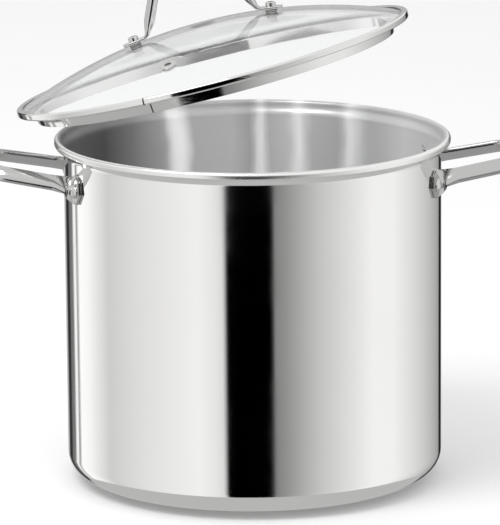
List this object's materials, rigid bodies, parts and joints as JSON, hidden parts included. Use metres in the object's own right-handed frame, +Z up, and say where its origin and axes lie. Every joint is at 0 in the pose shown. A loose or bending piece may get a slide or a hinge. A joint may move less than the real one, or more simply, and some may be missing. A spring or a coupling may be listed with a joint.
{
  "type": "stock pot",
  "caption": "Tall stainless steel stock pot with riveted tube side handles and a domed glass lid held raised and tilted; the lid swings down to close.",
  "frame": {"origin": "centre of the flat resting face under the base", "axes": "+X from the left side handle to the right side handle, +Z up the pot's axis, -Z the resting face's outward normal"},
  "size_m": [0.4914, 0.3697, 0.4737],
  "materials": {
    "pot_steel": "mirror polished outside, satin inside",
    "base_steel": "turned satin",
    "base_aluminium": "plain",
    "handle_steel": "polished",
    "band_steel": "polished",
    "lid_handle_steel": "polished",
    "fastener_steel": "polished",
    "lid_glass": "clear",
    "seal_rubber": "matt silicone"
  },
  "bodies": {
    "pot": {"pot_body": "pot_steel", "base_core": "base_aluminium", "base_cap": "base_steel", "left_handle": "handle_steel", "right_handle": "handle_steel", "left_front_rivet": "fastener_steel", "left_rear_rivet": "fastener_steel", "right_front_rivet": "fastener_steel", "right_rear_rivet": "fastener_steel"},
    "lid": {"lid_band": "band_steel", "lid_glass": "lid_glass", "lid_handle": "lid_handle_steel", "vent_grommet": "fastener_steel", "lid_left_screw": "fastener_steel", "lid_left_upper_seal": "seal_rubber", "lid_left_lower_seal": "seal_rubber", "lid_left_washer": "fastener_steel", "lid_left_nut": "fastener_steel", "lid_right_screw": "fastener_steel", "lid_right_upper_seal": "seal_rubber", "lid_right_lower_seal": "seal_rubber", "lid_right_washer": "fastener_steel", "lid_right_nut": "fastener_steel"}
  },
  "joints": [
    {"name": "lid_lift", "type": "hinge", "parent": "pot", "child": "lid", "pos_m": [-0.24929, 0.07384, 0.1923], "axis": [-0.284, -0.9588, 0], "range_deg": [-14.4, 35]}
  ]
}
